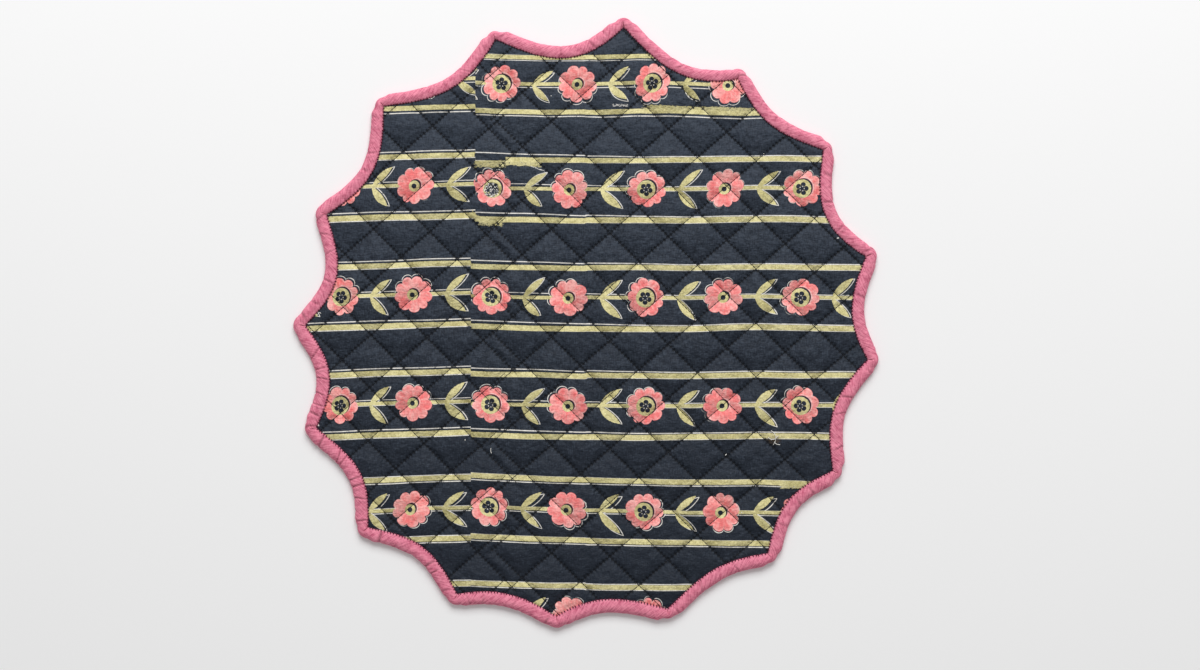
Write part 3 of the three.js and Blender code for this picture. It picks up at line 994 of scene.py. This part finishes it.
class PLACEMAT_OT_stage(bpy.types.Operator):
    """Lay the pale floor and set up the soft light and the camera above the mat."""
    bl_idname = "placemat.stage"
    bl_label = "Stage"

    def execute(self, context):
        studio, colours = context.scene.placemat_studio, context.scene.placemat_colours
        clear_selection()
        # The mat's middle lies a little left of and above the picture's; the view's width is
        # taken at the height of the mat's face
        off_x, off_y, face = 0.0093, -0.0080, 0.004
        bpy.ops.object.camera_add(location=(off_x, off_y, studio.distance), rotation=(0, 0, 0))
        camera = context.object
        camera.name = "camera"
        camera.data.sensor_width = 36
        camera.data.lens = camera.data.sensor_width * (studio.distance - face) / studio.view
        camera.data.clip_start = 0.05
        context.scene.camera = camera

        clear_selection()
        bpy.ops.mesh.primitive_plane_add(size=6, location=(0, 0, -0.0002))
        floor = context.object
        floor.name = "floor"
        bpy.ops.object.transform_apply(location=True)
        cloth = Cloth("pale floor", 0.9)
        haze = cloth.blotch(cloth.places(), 0.002, 2.0)
        tone = cloth.scale(colours.floor, haze * 0.02 + 0.99)
        floor.data.materials.append(cloth.finish(tone, haze, 0.00001))

        clear_selection()
        place, aim = Vector((0.1, 1.9, 1.55)), Vector((0, 0.02, 0))
        bpy.ops.object.light_add(type="AREA", location=place)
        light = context.object
        light.name = "window light"
        light.data.shape = "RECTANGLE"
        light.data.size, light.data.size_y = 2.1, 1.2
        light.data.energy = studio.key
        light.rotation_euler = (aim - place).to_track_quat("-Z", "Y").to_euler()

        world = bpy.data.worlds.new("soft room")
        context.scene.world = world
        world.use_nodes = True
        background = world.node_tree.nodes["Background"]
        background.inputs["Color"].default_value = (1, 1, 1, 1)
        background.inputs["Strength"].default_value = studio.fill
        context.scene.view_settings.view_transform = "Standard"
        return {"FINISHED"}


class PLACEMAT_OT_panel(bpy.types.Operator):
    """Quilt the printed panel, with its plain back and its hem inside the strip."""
    bl_idname = "placemat.panel"
    bl_label = "Quilted panel"

    def execute(self, context):
        sizes, colours = context.scene.placemat_sizes, context.scene.placemat_colours
        feet, _, _, _, hem = seam()
        points, faces, rims = [], [], []
        for steps in (FACE_STEPS, BACK_STEPS):
            flat, quads, rim = cloth_grid(steps, hem)
            inside, _ = nearest_on(feet, flat)
            if steps is FACE_STEPS:
                height = face_height(flat, inside, sizes)
                printed = len(quads)
            else:
                height = back_height(flat, inside)
                quads = quads[:, ::-1]
            start = sum(len(p) for p in points)
            points.append(np.column_stack([flat, height]))
            faces += (quads + start).tolist()
            rims.append([r + start for r in rim])
        points = np.concatenate(points)
        bearings = np.arctan2(points[:, 1], points[:, 0])
        faces += zip_rims(*rims, bearings)
        panel = new_piece("quilted_panel_cloth", points, faces)
        for side in ("left", "right"):
            u, v, misfit = print_places(points[:, :2], side == "left")
            set_uv(panel, "print_" + side, np.column_stack([u, v]))
            point_values(panel, "misfit_" + side, "FLOAT_VECTOR", misfit)
        back = plain_cotton("plain navy cotton", colours.ground, colours.ink, 0.85)
        dress(panel, printed_cotton(colours, sizes.stitch_pitch / MM), back)
        kinds = np.zeros(len(panel.data.polygons), np.int32)
        kinds[printed:] = 1
        panel.data.polygons.foreach_set("material_index", kinds)
        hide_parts("quilted_panel")
        return {"FINISHED"}


def strip_section(crown):
    """The strip's section as pairs of reach and height, anticlockwise seen along the seam."""
    skin = [
        (0.0, 2.72), (-0.01, 3.08), (0.02, 3.36), (0.06, 3.6), (0.13, 3.9), (0.22, 4.17),
        (0.32, 4.4), (0.43, 4.55), (0.54, 4.6), (0.64, 4.52), (0.74, 4.3), (0.83, 3.94),
        (0.905, 3.42), (0.96, 2.8), (1.0, 2.05), (0.99, 1.38), (0.95, 0.72), (0.87, 0.2),
        (0.74, 0.0), (0.45, 0.0), (0.12, 0.0), (0.0, 0.35), (0.0, 0.95),
        (0.5, 1.0), (0.775, 1.1), (0.775, 2.7), (0.4, 2.8),
    ]
    top = max(h for _, h in skin)
    return np.array([(r * STRIP_WIDTH, h * crown / top if h > 3 else h) for r, h in skin])


def gathers(total, rng):
    """Folds across the strip: place along it, width, depth, slant, and where across it is deep."""
    crossings = []
    place = 6.0  # the first one's
    while place < total:
        share = place / total
        # The left side, a little past halfway round, was gathered most
        busy = math.exp(-((share - 0.54) / 0.10) ** 2)
        crossings.append((place, rng.uniform(0.8, 1.7), rng.uniform(0.3, 0.8) + 0.45 * busy,
                          rng.uniform(-0.6, 0.6), rng.uniform(0.0, 1.0)))
        place += rng.uniform(8, 26) * (1 - 0.6 * busy)
    return crossings


def gathered_with_painted_shade(folds, arc, reach, skin, depth):
    """How far gathers and mitres lift the strip and notch its outer edge, and the shade painted into
    its folds, creases and inner edge.
    """
    rng = np.random.default_rng(41)
    s, share = arc[:-1][:, None], reach / STRIP_WIDTH
    lift = 0.16 * ripple(s / 7, share * 2, 43) * skin
    lift = lift + 0.11 * ripple(s / 2.2, share * 3, 47) * skin
    notch, dark = np.zeros(len(folds)), 0.0
    for place, wide, deep, slant, side in gathers(arc[-1], rng):
        along = (s[:, 0] - place + arc[-1] / 2) % arc[-1] - arc[-1] / 2
        off = along[:, None] - slant * (reach - STRIP_WIDTH / 2)
        valley = np.exp(-(off / (0.5 * wide)) ** 2)
        ridge = np.exp(-((off - 1.2 * wide) / wide) ** 2) * 0.55
        ridge = ridge + np.exp(-((off + 1.2 * wide) / wide) ** 2) * 0.35
        # Some folds run right across, some in from the stitches and some in from the outer edge
        reached = ease(share, 1.25 * side - 0.05, 1.25 * side - 0.45)
        if side > 0.66:
            reached = ease(share, 0.1, 0.5)
        elif side > 0.3:
            reached = ease(share, 0.02, 0.2)
        lift = lift + (ridge * 0.5 - valley * 0.8) * depth * deep * skin * reached
        # Painted shade in each fold's valley
        dark = dark + 1.05 * valley * deep * skin * reached
        notch += np.exp(-(along / wide) ** 2) * 0.4 * deep * (folds > 1.5)
    # A mitre: a crease from the inner corner outwards, with the cloth full on both its sides
    corner, fold = (folds < 1.5)[:, None], folds[:, None]
    crease = np.where(corner, np.exp(-(fold / 0.16) ** 2), 0)
    full = np.where(corner, np.exp(-((fold - 0.5) / 0.3) ** 2), 0)
    depths = np.repeat(rng.uniform(0.5, 1.15, len(SCALLOPS)), len(folds) // len(SCALLOPS))
    crease = crease * depths[:, None] * skin * ease(share, 0.6, 0.15)
    lift = lift - crease * depth * 1.1 + full * skin * 0.12 * ease(share, 0.7, 0.2)
    # Painted shade in the mitres' creases, and along the inner edge where the stitches draw the cloth
    # down
    dark = dark + crease * 1.3 + 0.25 * ease(share, 0.10, 0.02) * skin
    return lift, notch[:, None], dark


def strip_uv(arc, around):
    """A UV map in millimetres along and across the strip, for the corners of its faces."""
    i, j = np.divmod(np.arange((len(arc) - 1) * (len(around) - 1)), len(around) - 1)
    return np.stack([np.column_stack([arc[i + a], around[j + b]])
                     for a, b in ((0, 0), (0, 1), (1, 1), (1, 0))], axis=1)


class PLACEMAT_OT_binding(bpy.types.Operator):
    """Fold the bias strip round the panel's edge, with its mitres and gathers."""
    bl_idname = "placemat.binding"
    bl_label = "Bias binding"

    def execute(self, context):
        sizes, colours = context.scene.placemat_sizes, context.scene.placemat_colours
        feet, outs, widths, folds, _ = seam(132, 20)
        section = strip_section(sizes.crown / MM)
        arc = lengths(feet + outs * widths[:, None] / 2)
        s, (reach, height) = arc[:-1][:, None], section.T[:, None]
        share = reach / STRIP_WIDTH
        skin = ease(height, 2.6, 3.5)  # 1 on the upper side, which shows its folds
        lift, notch, dark = gathered_with_painted_shade(folds, arc, reach, skin, sizes.gather / MM)
        push = 0.22 * ripple(s / 13, 0, 53) + 0.09 * ripple(s / 4, 0, 59)
        push = push * np.where(folds < 1.5, 0.25, 1.0)[:, None]
        out = reach * widths[:, None] / STRIP_WIDTH + ease(share, 0.3, 1.0) * (push - notch)
        out = out + 0.20 * ripple(s / 2.6, 0, 61) * ease(share, 0.3, 0.0)
        height = np.maximum(height + lift, 0)
        spots = feet[:, None] + outs[:, None] * out[..., None]
        points = np.concatenate([spots, height[..., None]], axis=-1).reshape(-1, 3)
        faces = tube_faces(*height.shape).reshape(-1, 4).tolist()
        strip = new_piece("bias_binding_strip", points, faces)
        # The fold attribute carries the painted shade of the folds, the creases and the inner edge
        point_values(strip, "fold", "FLOAT", np.clip(dark, 0, 1.2))
        layer = strip.data.uv_layers.new(name="strip")
        layer.data.foreach_set("uv", strip_uv(arc, lengths(section)).astype(np.float32).ravel())
        clear_selection()
        context.view_layer.objects.active = strip
        strip.select_set(True)
        bpy.ops.object.mode_set(mode="EDIT")
        bpy.ops.mesh.select_all(action="SELECT")
        bpy.ops.mesh.remove_doubles(threshold=1e-6)
        bpy.ops.mesh.normals_make_consistent(inside=False)
        bpy.ops.object.mode_set(mode="OBJECT")
        dress(strip, strip_cotton(colours))
        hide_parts("bias_binding")
        return {"FINISHED"}


def stitch_shape(segments, rings):
    """One stitch, a slim bead with rounded ends, one unit long and lying along X."""
    clear_selection()
    bpy.ops.mesh.primitive_uv_sphere_add(segments=segments, ring_count=rings, radius=0.5)
    bead = bpy.context.object
    bpy.ops.object.mode_set(mode="EDIT")
    bpy.ops.mesh.select_all(action="SELECT")
    bpy.ops.transform.rotate(value=math.pi / 2, orient_axis="Y", center_override=(0, 0, 0))
    bpy.ops.object.mode_set(mode="OBJECT")
    points = np.array([v.co for v in bead.data.vertices])
    # A new sphere's points and faces come in no fixed order, so they are put in one
    order = np.lexsort(np.round(points, 4).T)
    rank = np.argsort(order)
    faces = sorted(rank[list(p.vertices)].tolist() for p in bead.data.polygons)
    bpy.data.meshes.remove(bead.data)
    return points[order], faces


def sew(name, shape, places, sizes, headings, tilts=0.0):
    """Copies of one stitch at the given places, each turned along its heading."""
    points, faces = shape
    cos, sin = np.cos(headings)[:, None], np.sin(headings)[:, None]
    x, y, z = points.T[:, None] * np.atleast_2d(sizes).T[:, :, None]
    z = z + x * np.reshape(tilts, (-1, 1))
    made = np.stack(np.broadcast_arrays(cos * x - sin * y, sin * x + cos * y, z), axis=-1)
    made = made + places[:, None]
    count = len(points)
    all_faces = [[v + count * k for v in face] for k in range(len(places)) for face in faces]
    return new_piece(name, made.reshape(-1, 3), all_faces)


def stitch_rows(pitch, feet):
    """Places and headings of the quilting stitches, and how far inside the seam they are."""
    places, headings = [], []
    for (name, kind), end in RUN_ENDS.items():
        origin, unit, across, spacing = sewn_line(name, kind)
        for line in range(-CROSSINGS, CROSSINGS + 1):
            steps = np.arange(-LINE_STITCHES, LINE_STITCHES) + 0.5
            way = (steps + STITCH_SHIFT * line) * pitch
            spots = origin + across * spacing * line + unit * way[:, None]
            past = spots[:, 0] - end if name == "left" else end - spots[:, 0]
            spots = spots[(past < 0) & (np.linalg.norm(spots, axis=1) < MAT_REACH)]
            places.append(spots)
            headings.append(np.full(len(spots), math.atan2(unit[1], unit[0])))
    places, headings = np.concatenate(places), np.concatenate(headings)
    inside, _ = nearest_on(feet, places)
    keep = inside > 0.9  # no stitch starts under the strip's inner edge
    return places[keep], headings[keep], inside[keep]


class PLACEMAT_OT_quilting(bpy.types.Operator):
    """Sew the diamond quilting on the face and its thread on the back."""
    bl_idname = "placemat.quilting"
    bl_label = "Quilting stitches"

    def execute(self, context):
        sizes, colours = context.scene.placemat_sizes, context.scene.placemat_colours
        feet = seam()[0]
        rng = np.random.default_rng(71)
        pitch, thick = sizes.stitch_pitch / MM, sizes.stitch_thread / MM
        spots, headings, inside = stitch_rows(pitch, feet)
        headings = headings + rng.normal(0, 0.05, len(headings))
        spots = spots + rng.normal(0, 0.05, spots.shape)
        steps = np.stack([np.cos(headings), np.sin(headings)], axis=1) * 0.5
        heights = [face_height(spots + k * steps, inside, sizes) for k in (-1, 0, 1)]
        tilt = heights[2] - heights[0]
        bead = np.array([pitch * 0.80, thick, thick * 0.8])
        top = np.column_stack([spots, heights[1] + thick * 0.2])
        material = thread_cotton("navy thread", colours.quilting)
        face = sew("quilting_thread_face", stitch_shape(6, 4), top, bead, headings, tilt)
        dress(face, material)
        low = np.column_stack([spots, back_height(spots, inside) + thick * 0.05])
        back = sew("quilting_thread_back", stitch_shape(4, 3), low, bead, headings)
        dress(back, material)
        return {"FINISHED"}


# Loose threads on the face, each by its knots, and the specks of lint
LOOSE_THREADS = (
    ((121.4, -70.6), (123.2, -72.0), (124.6, -74.4), (124.2, -77.6), (122.9, -80.2)),
    ((119.6, -75.1), (121.5, -76.7), (124.0, -76.2), (126.1, -74.0)),
    ((123.4, -78.1), (125.0, -79.6), (127.3, -80.0)),
    ((-62.2, -82.2), (-62.4, -83.9), (-61.9, -85.6)),
    ((-175.9, 4.9), (-174.7, 6.7), (-173.5, 6.2)),
)
SPECKS = ((165.3, 55.5), (-15.6, 175.5), (-79.1, -76.8), (91.9, -86.6), (116.8, 110.9),
          (102.1, -124.3), (-22.7, 148.6))


def loose_thread(knots, feet, sizes, thick, sides=5):
    """Rings of points round a thread that lies on the face along its knots."""
    knots = np.array(knots)
    way = np.linspace(0, len(knots) - 1, 8 * len(knots))
    line = np.stack([np.interp(way, np.arange(len(knots)), knots[:, k]) for k in (0, 1)], axis=1)
    for _ in range(3):
        line[1:-1] = (line[:-2] + 2 * line[1:-1] + line[2:]) / 4
    inside, _ = nearest_on(feet, line)
    height = face_height(line, inside, sizes) + thick * 0.55
    height = height + 0.3 * np.abs(ripple(way * 0.8, 0, 101))
    turn = 2 * np.pi * np.arange(sides) / sides
    across = -outward(np.gradient(line, axis=0))
    spots = line[:, None] + across[:, None] * (np.cos(turn) * thick / 2)[:, None]
    return np.dstack([spots, height[:, None] + np.sin(turn) * thick / 2])


class PLACEMAT_OT_lint(bpy.types.Operator):
    """Lay the few loose threads and specks of lint on the face."""
    bl_idname = "placemat.lint"
    bl_label = "Loose threads and lint"

    def execute(self, context):
        sizes, colours = context.scene.placemat_sizes, context.scene.placemat_colours
        feet = seam()[0]
        rng = np.random.default_rng(97)
        points, faces = np.empty((0, 3)), []
        for knots in LOOSE_THREADS:
            rings = loose_thread(knots, feet, sizes, sizes.edge_thread / MM * 0.62)
            rows, sides, _ = rings.shape
            sleeve = tube_faces(rows, sides)[:-1, :, [0, 3, 2, 1]].reshape(-1, 4)
            number = np.arange(rows * sides)
            for part in (sleeve, number[None, :sides], number[None, :-sides - 1:-1]):
                faces += (part + len(points)).tolist()
            points = np.concatenate([points, rings.reshape(-1, 3)])
        threads = new_piece("loose_threads", points, faces)
        material = thread_cotton("pale lint", colours.lint)
        dress(threads, material)
        spots = np.array(SPECKS)
        inside, _ = nearest_on(feet, spots)
        top = np.column_stack([spots, face_height(spots, inside, sizes) + 0.15])
        size = np.column_stack([rng.uniform(0.6, 1.3, len(spots)),
                                rng.uniform(0.45, 0.7, len(spots)), np.full(len(spots), 0.4)])
        size[0] *= (1.5, 1.9, 1.5)  # the first one is a larger scrap
        turns = rng.uniform(0, math.pi, len(spots))
        dress(sew("lint_specks", stitch_shape(8, 6), top, size, turns), material)
        return {"FINISHED"}


class PLACEMAT_OT_edging(bpy.types.Operator):
    """Sew the strip down with small stitches over its inner edge."""
    bl_idname = "placemat.edging"
    bl_label = "Edge stitches"

    def execute(self, context):
        sizes, colours = context.scene.placemat_sizes, context.scene.placemat_colours
        feet, outs, _, folds, _ = seam()
        rng = np.random.default_rng(83)
        line = folds > 1.5
        feet, outs = feet[line], outs[line]
        arc = lengths(feet)
        pitch, thick = sizes.edge_pitch / MM, sizes.edge_thread / MM
        way = np.linspace(0, arc[-1], int(arc[-1] / pitch), endpoint=False)
        way = way + rng.normal(0, 0.2, len(way))
        closed = np.concatenate([feet, feet[:1]]), np.concatenate([outs, outs[:1]])
        foot = np.stack([np.interp(way, arc, closed[0][:, k]) for k in (0, 1)], axis=1)
        out = np.stack([np.interp(way, arc, closed[1][:, k]) for k in (0, 1)], axis=1)
        out /= np.linalg.norm(out, axis=1, keepdims=True)
        headings = np.arctan2(out[:, 1], out[:, 0]) + rng.normal(0.25, 0.12, len(out))
        reach = rng.uniform(-0.22, -0.06, len(out))[:, None]
        high, rising = 3.64, 0.85  # height of a stitch's middle, and its slope up the strip's edge
        places = np.column_stack([foot + out * reach, np.full(len(foot), high)])
        bead = np.array([1.55, thick * 1.05, thick * 0.8])
        stitches = sew("edge_stitches", stitch_shape(6, 4), places, bead, headings, rising)
        # The thread's dark wine colour is partly painted shade at the strip's inner edge
        dress(stitches, thread_cotton("pink thread", colours.edging))
        return {"FINISHED"}


class PLACEMAT_PT_panel(bpy.types.Panel):
    """Sizes, colours and pieces of the placemat."""
    bl_label = "Placemat"
    bl_idname = "PLACEMAT_PT_panel"
    bl_space_type = "VIEW_3D"
    bl_region_type = "UI"
    bl_category = "Placemat"

    def draw(self, context):
        for name in GROUPS:
            box = self.layout.box()
            group = getattr(context.scene, name)
            for field in group.bl_rna.properties:
                if not field.is_readonly:
                    box.prop(group, field.identifier)
        for operator in OPERATORS:
            self.layout.operator(operator.bl_idname)


GROUPS = {
    "placemat_sizes": PlacematSizes,
    "placemat_colours": PlacematColours,
    "placemat_studio": PlacematStudio,
}
OPERATORS = (
    PLACEMAT_OT_stage,
    PLACEMAT_OT_panel,
    PLACEMAT_OT_binding,
    PLACEMAT_OT_quilting,
    PLACEMAT_OT_edging,
    PLACEMAT_OT_lint,
)
CLASSES = (*GROUPS.values(), *OPERATORS, PLACEMAT_PT_panel)


def register():
    for kind in CLASSES:
        bpy.utils.register_class(kind)
    for name, group in GROUPS.items():
        setattr(bpy.types.Scene, name, PointerProperty(type=group))


def unregister():
    for name in GROUPS:
        delattr(bpy.types.Scene, name)
    for kind in reversed(CLASSES):
        bpy.utils.unregister_class(kind)


def main():
    """Makes the stage and every piece, and keeps the two boxes."""
    register()
    bpy.ops.placemat.stage()
    bpy.ops.placemat.panel()
    bpy.ops.placemat.binding()
    bpy.ops.placemat.quilting()
    bpy.ops.placemat.edging()
    bpy.ops.placemat.lint()


if __name__ == "__main__":
    main()
